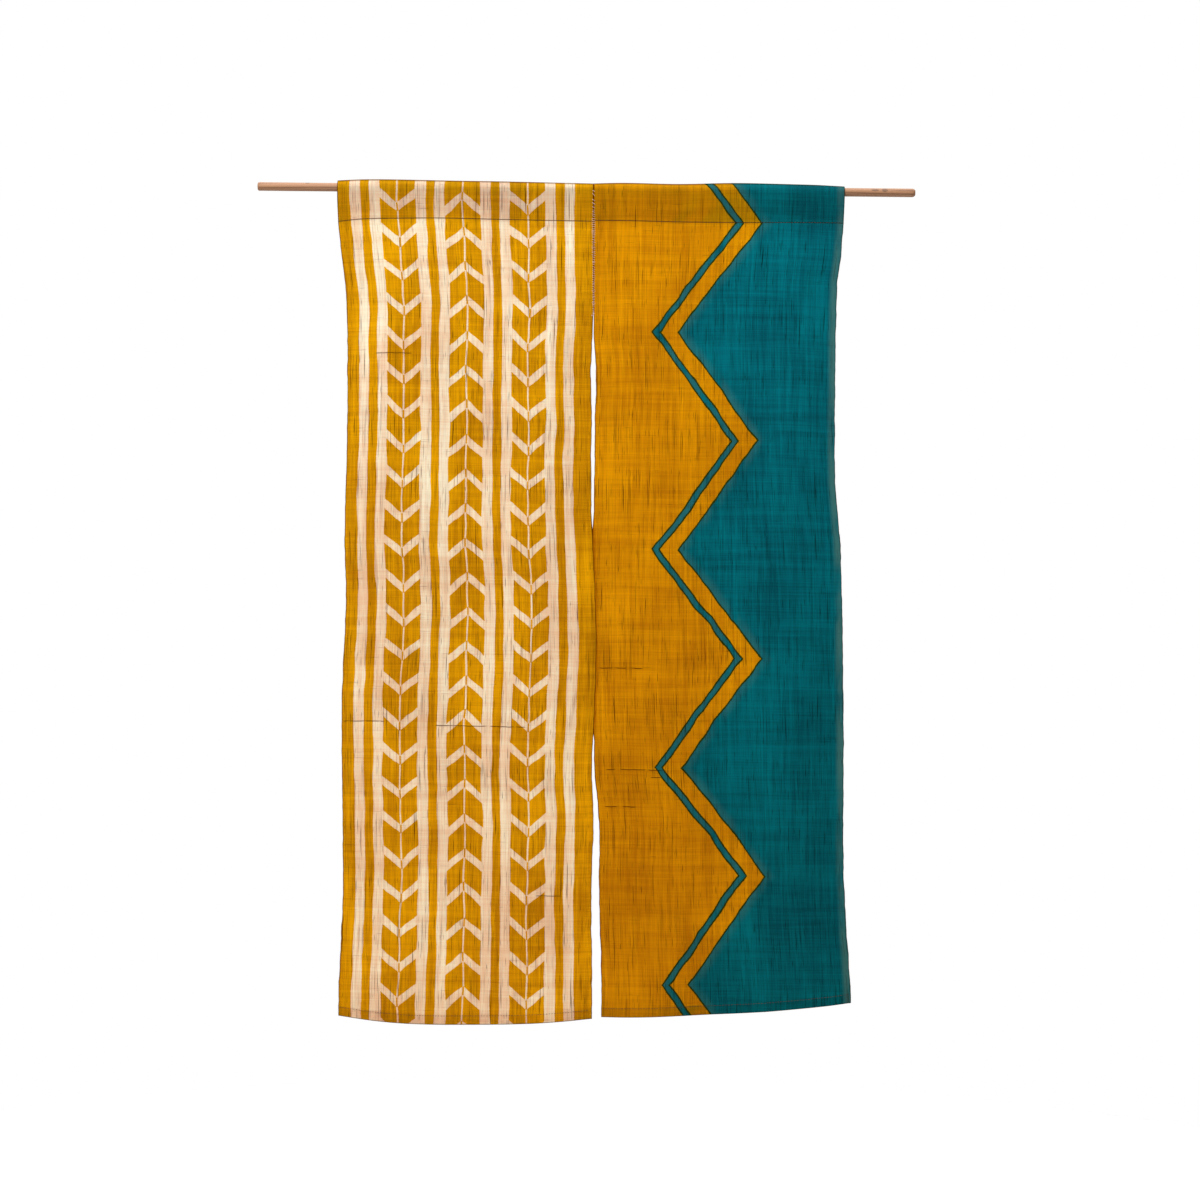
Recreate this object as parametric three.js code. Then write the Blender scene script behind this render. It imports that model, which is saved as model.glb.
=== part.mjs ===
// A two-panel doorway curtain hanging on a wooden rod.
//
// Each panel is one width of hemp cloth. Its top is turned over to the back and sewn down, which makes a
// pocket for the rod, and its bottom edge is turned up as a hem. The two panels are butted and sewn to each
// other for the first stretch under the rod. Below that they part and leave a slit down the middle.
//
// Units are millimetres. X runs along the rod, +Y points away from the room, +Z points up, and the origin is
// the middle of the rod's axis. A drop is a distance below the rod's axis.
import * as THREE from "three";

// The rod
const ROD_LENGTH = 1160;
const ROD_RADIUS = 7.5;
const ROD_SIDES = 24;
const ROD_LEFT_END = { flatRadius: 5.6, chamferLength: 2 };
const ROD_RIGHT_END = { flatRadius: 4.6, chamferLength: 5 };

// The cloth
const CLOTH_THICKNESS = 1;
const CLEARANCE = 0.3;
const CLOTH_LENGTH = 1460; // drop of the hem's lower edge, before a panel's own hem line is applied
const POCKET_DROP = 57; // drop of the seam that closes the pocket, before a panel's own seam line is applied
const POCKET_SEAM_DEPTH = 3; // both layers are sewn together over this height
const HEM_HEIGHT = 17;
const HEM_EXTRA = 1.3; // what the turned-up layer adds to the thickness, at the back

// How finely the sheets are divided
const FALL_ROWS = 27;
const COLUMNS = 22;

// The pocket lies on the rod like a low roof: a pressed crease on top, flanks that touch the rod, and
// straight sides that close below it.
const TOUCH_FROM = 34; // degrees from the top of the rod, where the flanks start to touch it
const TOUCH_TO = 98;
const TOUCH_STEPS = 4;
const CREASE_HALF_WIDTH = 0.6;
const CREASE_FROM_HEIGHT = 4; // only what is higher than this rises with the crease

// The facets of the rod have their corners at its radius, and those of the pocket have their middles
// nearer to the axis than their corners.
const FACET_ALLOWANCE = 1 / Math.cos(THREE.MathUtils.degToRad((TOUCH_TO - TOUCH_FROM) / TOUCH_STEPS / 2));
const POCKET_INNER = (ROD_RADIUS + CLEARANCE) * FACET_ALLOWANCE;
const POCKET_OUTER = POCKET_INNER + CLOTH_THICKNESS;

// The two edges that meet in the middle, left and right. They are sewn together down to a drop of about 220,
// and then they part. Between about 600 and 980 the left panel laps over the right one.
const SLIT = [
  { drop: -30, left: 12.0, right: 12.3, lap: 0 },
  { drop: 57, left: 12.9, right: 13.2, lap: 0 },
  { drop: 200, left: 14.4, right: 14.7, lap: 0 },
  { drop: 212, left: 14.4, right: 14.8, lap: 0 },
  { drop: 274, left: 12.4, right: 15.9, lap: 0 },
  { drop: 328, left: 10.9, right: 20.6, lap: 0 },
  { drop: 422, left: 13.8, right: 18.2, lap: 0 },
  { drop: 459, left: 12.4, right: 19.4, lap: 0 },
  { drop: 517, left: 14.0, right: 18.5, lap: 0.3 },
  { drop: 565, left: 14.0, right: 18.4, lap: 0.9 },
  { drop: 640, left: 18.5, right: 15.6, lap: 1 },
  { drop: 794, left: 25.4, right: 16.6, lap: 1 },
  { drop: 900, left: 24.0, right: 18.0, lap: 1 },
  { drop: 980, left: 20.5, right: 23.0, lap: 0.8 },
  { drop: 1054, left: 20.0, right: 25.6, lap: 0.2 },
  { drop: 1107, left: 24.0, right: 33.7, lap: 0 },
  { drop: 1228, left: 20.8, right: 34.0, lap: 0 },
  { drop: 1359, left: 23.0, right: 38.8, lap: 0 },
  { drop: 1476, left: 25.2, right: 42.5, lap: 0 },
];
const LAP_DEPTH = 3; // how far each panel steps out of the other's way where they lap
const LAP_REACH = 35; // how far from the edge that is still felt

const LEFT_PANEL = {
  outerEdge: [
    { drop: -30, x: -440.5 },
    { drop: 61, x: -438.0 },
    { drop: 142, x: -428.4 },
    { drop: 198, x: -422.5 },
    { drop: 428, x: -419.5 },
    { drop: 622, x: -422.4 },
    { drop: 727, x: -418.5 },
    { drop: 904, x: -424.5 },
    { drop: 1133, x: -420.4 },
    { drop: 1257, x: -418.5 },
    { drop: 1363, x: -422.5 },
    { drop: 1476, x: -425.5 },
  ],
  // across runs from 0 at the outer edge to 1 at the slit
  levels: [
    { across: 0, crease: 12.0, seam: 62.0, hem: 1462.0 },
    { across: 0.1, crease: 14.6, seam: 57.0, hem: 1468.0 },
    { across: 0.24, crease: 15.0, seam: 55.0, hem: 1473.5 },
    { across: 0.42, crease: 14.0, seam: 54.0, hem: 1476.8 },
    { across: 0.64, crease: 13.4, seam: 55.5, hem: 1474.3 },
    { across: 0.87, crease: 12.0, seam: 56.5, hem: 1469.0 },
    { across: 1, crease: 11.2, seam: 57.0, hem: 1463.0 },
  ],
};

const RIGHT_PANEL = {
  outerEdge: [
    { drop: -30, x: 456.3 },
    { drop: 57, x: 454.4 },
    { drop: 101, x: 452.0 },
    { drop: 146, x: 445.6 },
    { drop: 313, x: 443.5 },
    { drop: 525, x: 445.5 },
    { drop: 596, x: 454.0 },
    { drop: 737, x: 460.0 },
    { drop: 966, x: 464.9 },
    { drop: 1178, x: 466.2 },
    { drop: 1284, x: 471.4 },
    { drop: 1430, x: 482.6 },
  ],
  levels: [
    { across: 0, crease: 10.0, seam: 56.0, hem: 1430.9 },
    { across: 0.1, crease: 12.4, seam: 55.6, hem: 1437.4 },
    { across: 0.21, crease: 13.4, seam: 55.8, hem: 1441.8 },
    { across: 0.44, crease: 14.6, seam: 56.8, hem: 1450.8 },
    { across: 0.66, crease: 11.8, seam: 56.6, hem: 1456.0 },
    { across: 0.88, crease: 13.0, seam: 55.2, hem: 1459.5 },
    { across: 1, crease: 11.2, seam: 55.4, hem: 1460.0 },
  ],
};

// Soft folds that run down both panels. A fold stands back from the room where its depth is positive. It
// grows from drop "from" to its full depth at drop "full", and has its share "atHem" left at the hem.
const FOLDS = [
  { x: -440, width: 62, depth: 17, from: 60, full: 260, atHem: 0.35 },
  { x: -330, width: 58, depth: -9, from: 90, full: 420, atHem: 0.5 },
  { x: -215, width: 50, depth: 7, from: 150, full: 600, atHem: 0.6 },
  { x: -95, width: 58, depth: -8, from: 80, full: 380, atHem: 0.7 },
  { x: 14, width: 36, depth: 6, from: 240, full: 520, atHem: 0.5 },
  { x: 125, width: 60, depth: -7, from: 90, full: 460, atHem: 0.9 },
  { x: 240, width: 52, depth: 8, from: 130, full: 640, atHem: 0.6 },
  { x: 352, width: 56, depth: -9, from: 80, full: 400, atHem: 0.5 },
  { x: 460, width: 56, depth: 15, from: 60, full: 240, atHem: 0.4 },
];
const FOLD_EASE_FROM = 1000; // below this drop the folds ease towards their share at the hem

// Reads a column of a table between its rows, on a smooth curve through them.
function readTable(rows, along, column, place) {
  const last = rows.length - 1;
  const at = (k) => rows[THREE.MathUtils.clamp(k, 0, last)];
  if (place <= rows[0][along]) return rows[0][column];
  if (place >= rows[last][along]) return rows[last][column];
  const i = rows.findIndex((row) => row[along] > place) - 1;
  const step = at(i + 1)[along] - at(i)[along];
  const slope = (k) => (at(k + 1)[column] - at(k - 1)[column]) / (at(k + 1)[along] - at(k - 1)[along]);
  const t = (place - at(i)[along]) / step;
  const startShare = 2 * t ** 3 - 3 * t ** 2 + 1;
  const bend = (t ** 3 - 2 * t ** 2 + t) * slope(i) + (t ** 3 - t ** 2) * slope(i + 1);
  return startShare * at(i)[column] + (1 - startShare) * at(i + 1)[column] + step * bend;
}

// How far back the folds set the cloth at a place on it.
function foldDepth(x, drop) {
  const eased = THREE.MathUtils.smoothstep(drop, FOLD_EASE_FROM, CLOTH_LENGTH);
  return FOLDS.reduce((sum, fold) => {
    const grown = THREE.MathUtils.smoothstep(drop, fold.from, fold.full);
    const left = 1 - eased * (1 - fold.atHem);
    return sum + fold.depth * grown * left * Math.exp(-(((x - fold.x) / fold.width) ** 2));
  }, 0);
}

// The flanks of the pocket that touch the rod, from the crease down on the side that sign gives.
function flank(radius, sign) {
  return Array.from({ length: TOUCH_STEPS + 1 }, (_, k) => {
    const angle = THREE.MathUtils.degToRad(TOUCH_FROM + ((TOUCH_TO - TOUCH_FROM) * k) / TOUCH_STEPS);
    return new THREE.Vector2(sign * radius * Math.sin(angle), radius * Math.cos(angle));
  });
}

// The crease above the flanks, as two corners close together.
function crease(radius) {
  const touch = THREE.MathUtils.degToRad(TOUCH_FROM);
  const height = (radius - CREASE_HALF_WIDTH * Math.sin(touch)) / Math.cos(touch);
  return [-1, 1].map((sign) => new THREE.Vector2(sign * CREASE_HALF_WIDTH, height));
}

// The way up the front of the pocket, over the rod and down the back.
function overTheRod(radius) {
  return [...flank(radius, -1).reverse(), ...crease(radius), ...flank(radius, 1)];
}

// The section of a panel, seen from its right: x is the depth and y the height. It is a strip of cells with
// four corners each, which go round the pocket, down the fall and into the hem.
function panelSection() {
  const points = [];
  const cells = [];
  const corner = (depth, height) => points.push(new THREE.Vector2(depth, height)) - 1;
  const strip = (rungs) => {
    rungs.slice(1).forEach(([front, back], k) => cells.push([rungs[k][0], front, back, rungs[k][1]]));
  };
  const front = -CLOTH_THICKNESS / 2;
  const back = CLOTH_THICKNESS / 2;
  const flapBack = back + CLOTH_THICKNESS;
  const hemBack = back + HEM_EXTRA;
  const pocketBottom = -(POCKET_DROP - POCKET_SEAM_DEPTH);
  const hemTop = -(CLOTH_LENGTH - HEM_HEIGHT);

  const pocketFront = [corner(front, pocketBottom), corner(back, pocketBottom)];
  const pocketBack = [corner(flapBack, pocketBottom), pocketFront[1]];
  const outside = overTheRod(POCKET_OUTER);
  const round = overTheRod(POCKET_INNER).map((inner, k) => {
    return [corner(outside[k].x, outside[k].y), corner(inner.x, inner.y)];
  });
  strip([pocketBack, ...round.reverse(), pocketFront]);

  const fall = Array.from({ length: FALL_ROWS + 1 }, (_, k) => {
    const height = THREE.MathUtils.lerp(-POCKET_DROP, hemTop, k / FALL_ROWS);
    return [corner(front, height), corner(back, height)];
  });
  const bottom = [corner(front, -CLOTH_LENGTH), corner(back, -CLOTH_LENGTH)];
  strip([pocketFront, ...fall, bottom]);
  strip([[pocketFront[1], pocketBack[0]], [fall[0][1], corner(flapBack, -POCKET_DROP)]]);
  strip([[fall.at(-1)[1], corner(hemBack, hemTop)], [bottom[1], corner(hemBack, -CLOTH_LENGTH)]]);
  return { points, cells };
}

// Draws a section out along X, from 0 to 1, into a closed body. A side of a cell that no other cell shares
// is on the outside.
function drawOut({ points, cells }, steps) {
  const sides = new Map();
  for (const cell of cells) {
    cell.forEach((from, k) => {
      const to = cell[(k + 1) % cell.length];
      if (!sides.delete(`${to} ${from}`)) sides.set(`${from} ${to}`, [from, to]);
    });
  }
  const place = [];
  const faces = [];
  const at = (step, point) => step * points.length + point;
  const quad = (a, b, c, d) => faces.push(a, b, c, a, c, d);
  for (let step = 0; step <= steps; step += 1) {
    points.forEach((point) => place.push(step / steps, point.x, point.y));
  }
  for (const [a, b, c, d] of cells) {
    quad(at(0, d), at(0, c), at(0, b), at(0, a));
    quad(at(steps, a), at(steps, b), at(steps, c), at(steps, d));
  }
  for (const [from, to] of sides.values()) {
    for (let step = 0; step < steps; step += 1) {
      quad(at(step, from), at(step, to), at(step + 1, to), at(step + 1, from));
    }
  }
  const geometry = new THREE.BufferGeometry();
  geometry.setAttribute("position", new THREE.Float32BufferAttribute(place, 3));
  geometry.setIndex(faces);
  return geometry;
}

// The height on a hanging panel of a height in its section: the crease, the pocket's seam and the hem each
// lie where the panel's own level lines have them.
function hungHeight(levels, across, height) {
  const creaseBase = crease(POCKET_OUTER)[0].y;
  const seam = -readTable(levels, "across", "seam", across);
  if (height > CREASE_FROM_HEIGHT) {
    const top = Math.max(creaseBase, readTable(levels, "across", "crease", across));
    const rise = (top - CREASE_FROM_HEIGHT) / (creaseBase - CREASE_FROM_HEIGHT);
    return CREASE_FROM_HEIGHT + (height - CREASE_FROM_HEIGHT) * rise;
  }
  if (height > -ROD_RADIUS) return height;
  if (height > -POCKET_DROP) {
    return THREE.MathUtils.mapLinear(height, -ROD_RADIUS, -POCKET_DROP, -ROD_RADIUS, seam);
  }
  const hem = -readTable(levels, "across", "hem", across);
  return THREE.MathUtils.mapLinear(height, -POCKET_DROP, -CLOTH_LENGTH, seam, hem);
}

// One panel. side is -1 for the left one and 1 for the right one.
function makePanel(name, panel, side, material) {
  const geometry = drawOut(panelSection(), COLUMNS);
  const position = geometry.getAttribute("position");
  const slitColumn = side < 0 ? "left" : "right";
  for (let i = 0; i < position.count; i += 1) {
    const across = side < 0 ? position.getX(i) : 1 - position.getX(i);
    const height = hungHeight(panel.levels, across, position.getZ(i));
    const outer = readTable(panel.outerEdge, "drop", "x", -height);
    const slit = readTable(SLIT, "drop", slitColumn, -height);
    const x = THREE.MathUtils.lerp(outer, slit, across);
    const lap = readTable(SLIT, "drop", "lap", -height) * Math.exp(-Math.abs(slit - x) / LAP_REACH);
    const y = position.getY(i) + foldDepth(x, -height) + side * LAP_DEPTH * lap;
    position.setXYZ(i, x, y, height);
  }
  geometry.computeVertexNormals();
  const mesh = new THREE.Mesh(geometry, material);
  mesh.name = name;
  return mesh;
}

// A turned wooden rod with a flat at each end, lying along X.
function makeRod(material) {
  const half = ROD_LENGTH / 2;
  const profile = [
    new THREE.Vector2(0, -half),
    new THREE.Vector2(ROD_LEFT_END.flatRadius, -half),
    new THREE.Vector2(ROD_RADIUS, -half + ROD_LEFT_END.chamferLength),
    new THREE.Vector2(ROD_RADIUS, half - ROD_RIGHT_END.chamferLength),
    new THREE.Vector2(ROD_RIGHT_END.flatRadius, half),
    new THREE.Vector2(0, half),
  ];
  const mesh = new THREE.Mesh(new THREE.LatheGeometry(profile, ROD_SIDES), material);
  mesh.rotation.z = -Math.PI / 2;
  mesh.name = "rod";
  return mesh;
}

const wood = new THREE.MeshStandardMaterial({ color: 0xb98b6a, roughness: 0.6, metalness: 0 });
const leftCloth = new THREE.MeshStandardMaterial({ color: 0xd9a94a, roughness: 0.9, metalness: 0 });
const rightCloth = new THREE.MeshStandardMaterial({ color: 0xcb920a, roughness: 0.9, metalness: 0 });

const curtain = new THREE.Group();
curtain.add(makeRod(wood));
curtain.add(makePanel("panel_left", LEFT_PANEL, -1, leftCloth));
curtain.add(makePanel("panel_right", RIGHT_PANEL, 1, rightCloth));

export default curtain;
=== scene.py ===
# %% [markdown]
# # A noren in hemp cloth, on its rod
#
# A noren is a short doorway curtain. This one is two widths of hand-woven hemp, joined by hand under the rod
# and left open below, and it hangs from a round wooden rod through a pocket in its top.
#
# The frame holds three solids: the rod and the two panels, as rigid shapes in which the cloth hangs. This
# lesson dresses them. Each panel becomes a thin sheet that follows the solid's folds, and gets its weave,
# its dye and its sewing. Everything is in metres. X runs along the rod, the room is on the side of -Y, and
# the origin is the middle of the rod. Two helpers that are used all through come first: one puts a new
# object into the scene, and one makes a mesh from a finished bmesh.

# %% Load the frame
import math
import random

import bmesh
import bpy
import numpy as np
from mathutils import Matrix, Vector, noise
from mathutils.bvhtree import BVHTree


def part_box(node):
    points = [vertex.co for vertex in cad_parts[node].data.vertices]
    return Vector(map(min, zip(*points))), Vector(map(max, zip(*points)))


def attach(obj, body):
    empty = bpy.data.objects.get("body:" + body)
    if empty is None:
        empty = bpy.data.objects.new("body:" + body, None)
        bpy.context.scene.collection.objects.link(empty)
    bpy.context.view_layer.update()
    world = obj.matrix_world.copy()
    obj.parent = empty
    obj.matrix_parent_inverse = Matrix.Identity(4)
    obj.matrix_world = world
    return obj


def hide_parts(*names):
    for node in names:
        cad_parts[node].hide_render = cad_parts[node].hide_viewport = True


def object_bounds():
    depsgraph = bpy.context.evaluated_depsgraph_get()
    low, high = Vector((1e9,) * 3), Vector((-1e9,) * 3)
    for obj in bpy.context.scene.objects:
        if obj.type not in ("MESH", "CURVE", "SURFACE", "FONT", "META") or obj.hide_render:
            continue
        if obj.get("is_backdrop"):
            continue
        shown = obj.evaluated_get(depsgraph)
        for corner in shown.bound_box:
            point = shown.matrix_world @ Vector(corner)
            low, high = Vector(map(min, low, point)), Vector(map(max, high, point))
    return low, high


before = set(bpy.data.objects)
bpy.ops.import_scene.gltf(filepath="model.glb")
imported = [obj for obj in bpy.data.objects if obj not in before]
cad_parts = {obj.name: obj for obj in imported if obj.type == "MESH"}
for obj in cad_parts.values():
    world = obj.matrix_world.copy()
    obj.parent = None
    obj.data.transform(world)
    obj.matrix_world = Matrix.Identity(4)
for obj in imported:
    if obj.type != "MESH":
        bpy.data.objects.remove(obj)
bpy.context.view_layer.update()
MM = 0.001


def placed(name, data):
    """A new object in the scene, at the origin, from a mesh, a curve, a lamp or a camera."""
    made = bpy.data.objects.new(name, data)
    bpy.context.scene.collection.objects.link(made)
    return made


def mesh_from(bm, name, smooth=True):
    """A mesh from a finished bmesh, which is freed."""
    for face in bm.faces:
        face.smooth = smooth
    mesh = bpy.data.meshes.new(name)
    bm.to_mesh(mesh)
    bm.free()
    return mesh


# %% [markdown]
# ## The camera
#
# The photograph was taken from straight in front, from a few metres away, and the rod runs a little downhill
# in it. One way to match it is to move the camera by eye. Here the picture gives the numbers: the pixel of
# the rod's middle, the size of a pixel at the cloth, and the rod's slope. From these the script works out
# the point that the camera looks at, its lens and its roll.

# %% Camera
PHOTO_PIXELS = 1200
ROD_MIDDLE_PIXEL = (586.5, 189.7)
PIXEL = 1.765 * MM
ROD_SLOPE = math.radians(0.567)
CAMERA_DISTANCE = 4.5
SENSOR_MM = 36.0

right_px = PHOTO_PIXELS / 2 - ROD_MIDDLE_PIXEL[0]
down_px = PHOTO_PIXELS / 2 - ROD_MIDDLE_PIXEL[1]
aim_x = (right_px * math.cos(ROD_SLOPE) + down_px * math.sin(ROD_SLOPE)) * PIXEL
aim_z = (right_px * math.sin(ROD_SLOPE) - down_px * math.cos(ROD_SLOPE)) * PIXEL

camera_data = bpy.data.cameras.new("camera")
camera_data.sensor_width = SENSOR_MM
camera_data.lens = SENSOR_MM * CAMERA_DISTANCE / (PHOTO_PIXELS * PIXEL)
camera = placed("camera", camera_data)
camera.location = (aim_x, -CAMERA_DISTANCE, aim_z)
camera.rotation_euler = (math.pi / 2, -ROD_SLOPE, 0)
bpy.context.scene.camera = camera
print("camera looks at", round(aim_x, 3), round(aim_z, 3), "with a lens of", round(camera_data.lens, 1), "mm")

# %% [markdown]
# ## Node helpers
#
# The light of the world and every finish are graphs of nodes. One can be drawn by hand in the shader editor,
# or written with one line for each node. A few small helpers keep the written one short. The first adds a
# node and fills its inputs, and the others use it for arithmetic, mixing, soft steps, vectors and noise.
# Colours are named as a paint program shows them, from 0 to 255, and turned into the linear values that
# light is counted in. The last two start an empty material and a node group, for what several materials
# share.


# %% Helpers for graphs
def add_node(tree, kind, inputs=None, **options):
    """Adds a node, sets its options, and links or sets its inputs, which are given by name or number."""
    made = tree.nodes.new("ShaderNode" + kind)
    for option, value in options.items():
        setattr(made, option, value)
    for key, value in (inputs or {}).items():
        if isinstance(value, bpy.types.NodeSocket):
            tree.links.new(value, made.inputs[key])
        else:
            made.inputs[key].default_value = value
    return made


def calc(tree, operation, *values):
    """The result of one Math node."""
    return add_node(tree, "Math", dict(enumerate(values)), operation=operation).outputs[0]


def chain(operation):
    """A helper that runs one operation over two or more values."""

    def result(tree, first, *others):
        for other in others:
            first = calc(tree, operation, first, other)
        return first

    return result


times, plus, minus, most = (chain(operation) for operation in ("MULTIPLY", "ADD", "SUBTRACT", "MAXIMUM"))


def mixed(tree, share, first, second, kind="MIX"):
    """Two colours mixed by a share of the second."""
    inputs = {0: share, 6: first, 7: second}
    return add_node(tree, "Mix", inputs, data_type="RGBA", blend_type=kind).outputs[2]


def ramp(tree, value, low, high):
    """A value turned into 0 below low and 1 above high, soft between them."""
    inputs = {"Value": value, "From Min": low, "From Max": high}
    return add_node(tree, "MapRange", inputs, interpolation_type="SMOOTHSTEP").outputs["Result"]


def near(tree, gap, full, none):
    """1 where a gap is below full and 0 where it is above none, soft between them."""
    return minus(tree, 1.0, ramp(tree, gap, full, none))


def vector(tree, x=0.0, y=0.0, z=0.0):
    """Three numbers as one vector."""
    return add_node(tree, "CombineXYZ", {"X": x, "Y": y, "Z": z}).outputs[0]


def parts(tree, place):
    """The three numbers of a vector."""
    return add_node(tree, "SeparateXYZ", {0: place}).outputs


def speckle(tree, place, detail=2.0, roughness=0.5):
    """Noise with bumps of about 1, from 0 to 1."""
    inputs = {"Vector": place, "Scale": 1.0, "Detail": detail, "Roughness": roughness}
    return add_node(tree, "TexNoise", inputs).outputs["Fac"]


def colour(red, green, blue):
    """A colour as a paint program shows it, made linear."""
    shown = [value / 255 for value in (red, green, blue)]
    return (*[v / 12.92 if v <= 0.04045 else ((v + 0.055) / 1.055) ** 2.4 for v in shown], 1.0)


def new_material(name):
    """An empty material. Returns it with its node tree."""
    made = bpy.data.materials.new(name)
    made.use_nodes = True
    made.node_tree.nodes.clear()
    return made, made.node_tree


def new_group(name, inputs, outputs):
    """An empty node group. Returns it with the sockets that bring its inputs in and take its outputs out."""
    tree = bpy.data.node_groups.new(name, "ShaderNodeTree")
    for label, kind, value in inputs:
        socket = tree.interface.new_socket(label, in_out="INPUT", socket_type="NodeSocket" + kind)
        if value is not None:
            socket.default_value = value
    for label, kind in outputs:
        tree.interface.new_socket(label, in_out="OUTPUT", socket_type="NodeSocket" + kind)
    return tree, tree.nodes.new("NodeGroupInput").outputs, tree.nodes.new("NodeGroupOutput").inputs


# %% [markdown]
# ## Light, air and floor
#
# In the picture the wall is so bright that it burns out to white, and the light on the cloth is soft, a
# little stronger from above and from the left. A wall behind the curtain would hide its back, so white air
# stands in for it: the world is white, and it also shines through the thin cloth from behind, as a bright
# wall does. A wide lamp at the upper left models the folds, and one overhead keeps the pale floor white. The
# floor is a round sheet, so that no far edge of it shows as a horizon.

# %% World, lamps and floor
WORLD_LIGHT = 0.6
WARM_WHITE = (1, 0.94, 0.87, 1)
WINDOW = {"place": (-1.6, -2.2, 1.5), "target": (0, 0, -0.1), "size": 1.5, "watts": 96}
FLOOR_DROP = 2.0
FLOOR_RADIUS = 2.3
CEILING = {"place": (0, -0.4, 2.4), "target": (0, -0.4, -FLOOR_DROP), "size": 3.0, "watts": 150}

bpy.context.scene.view_settings.view_transform = "Standard"
world = bpy.data.worlds.new("white air")
bpy.context.scene.world = world
world.use_nodes = True
air = world.node_tree
air.nodes.clear()
seen = add_node(air, "Background", {"Color": (1, 1, 1, 1)}).outputs[0]
shining = add_node(air, "Background", {"Color": WARM_WHITE, "Strength": WORLD_LIGHT}).outputs[0]
to_camera = add_node(air, "LightPath").outputs["Is Camera Ray"]
either = add_node(air, "MixShader", {0: to_camera, 1: shining, 2: seen}).outputs[0]
add_node(air, "OutputWorld", {"Surface": either})


def add_lamp(name, place, target, size, watts):
    """A wide soft lamp at a place, turned to a target."""
    data = bpy.data.lights.new(name, "AREA")
    data.shape = "RECTANGLE"
    data.size = data.size_y = size
    data.energy = watts
    lamp = placed(name, data)
    lamp.location = place
    lamp.rotation_euler = (Vector(target) - Vector(place)).to_track_quat("-Z", "Y").to_euler()


add_lamp("window", **WINDOW)
add_lamp("ceiling", **CEILING)

bm = bmesh.new()
bmesh.ops.create_circle(bm, cap_ends=True, segments=96, radius=FLOOR_RADIUS)
bmesh.ops.translate(bm, verts=bm.verts, vec=(0, 0, -FLOOR_DROP))
floor = placed("floor", mesh_from(bm, "floor", smooth=False))
floor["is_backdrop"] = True
print("floor", FLOOR_DROP, "m under the rod")

# %% [markdown]
# ## Reading the panels in the frame
#
# The thin sheets have to lie where the solid panels are, so the script asks the frame for that place. A ray
# sent at a panel along Y says how deep its surface lies at a point of the picture plane, from the front or
# from the back. Where a ray finds nothing, there is no cloth, so halving the way between a point with cloth
# and one without it finds the panel's outline. The alternative, to repeat all of the solid's sizes here,
# would have to be mended after each change of the frame.

# %% Rays at a panel
FAR = 0.5
CAD_THICKNESS = 1 * MM
MORE_THAN_ONE_LAYER = 1.6 * CAD_THICKNESS
HALVINGS = 14
RIM_STEP = 9 * MM
SEAM_SEARCH = (-46 * MM, -76 * MM)
SIDE_EDGE_FROM, SIDE_EDGE_TO = -16 * MM, -1415 * MM


class PanelShape:
    """Where one panel of the frame lies, read by rays."""

    def __init__(self, node):
        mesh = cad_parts[node].data
        corners = [vertex.co for vertex in mesh.vertices]
        self.tree = BVHTree.FromPolygons(corners, [face.vertices for face in mesh.polygons])
        self.low, self.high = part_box(node)
        self.heights = np.arange(SIDE_EDGE_TO, SIDE_EDGE_FROM, RIM_STEP)
        middle = (self.low[0] + self.high[0]) / 2
        self.edges = [
            np.array([self.rim((middle, z), (beyond, z), self.has_cloth)[0] for z in self.heights])
            for beyond in (self.low[0] - 0.01, self.high[0] + 0.01)
        ]

    def depth(self, x, z, side):
        """The depth of the surface at a point, seen from the front (side -1) or from the back (side 1)."""
        hit = self.tree.ray_cast(Vector((x, side * FAR, z)), Vector((0, -side, 0)))[0]
        return None if hit is None else hit.y

    def has_cloth(self, x, z):
        return self.depth(x, z, -1) is not None

    def is_pocket(self, x, z):
        """True above the lower end of the flap, where the panel is more than one layer thick."""
        front, back = self.depth(x, z, -1), self.depth(x, z, 1)
        return front is not None and back - front > MORE_THAN_ONE_LAYER

    def rim(self, inside, outside, test):
        """The last point on the way from inside to outside that passes a test."""
        inside, outside = Vector(inside), Vector(outside)
        for _ in range(HALVINGS):
            middle = (inside + outside) / 2
            if test(middle.x, middle.y):
                inside = middle
            else:
                outside = middle
        return inside

    def across(self, share, z):
        """The x of a share of the way from the left edge to the right edge at a height."""
        left, right = (np.interp(z, self.heights, edge) for edge in self.edges)
        return left + (right - left) * share


shapes = {node: PanelShape(node) for node in ("panel_left", "panel_right")}
for node, shape in shapes.items():
    width = float(shape.across(1, -0.5) - shape.across(0, -0.5))
    print(node, "is", round(width, 4), "wide half a metre down")

# %% [markdown]
# ## The sheet's path
#
# A weaver delivers one long strip. It starts behind the rod, where its end is sewn down, goes up and over
# the rod, down the front, and at the bottom it turns up again into the hem. So the sheet is one grid whose
# rows follow that path and whose columns run from selvedge to selvedge. The rows sit closer where the cloth
# bends: at the pressed crease on top and at the hem.
#
# The solid's faces are flat, and a sheet that followed them exactly would show them as facets. The depths
# are therefore ironed: each one moves towards the mean of its neighbours a few times, which a fold survives
# and a facet doesn't.

# %% Rows and columns of a sheet
SHEET_THICKNESS = 0.5 * MM
COLUMN_COUNT = 92
POCKET_ROWS = 13
FALL_ROWS = 330
HEM_ROWS = 5
ROWS_BESIDE_HEM = 4
HEM_HEIGHT = 17 * MM
STATIONS = np.linspace(0, 1, COLUMN_COUNT + 1)
EDGE_INSET = 0.006
ABOVE_BOTTOM, ABOVE_FLAP_END = 0.7 * MM, 0.8 * MM
CREST_CROWDING = 1.35
LINE_IRONINGS = 6
DEPTH_IRONINGS = 8
FACET_IRONINGS = 60

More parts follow.
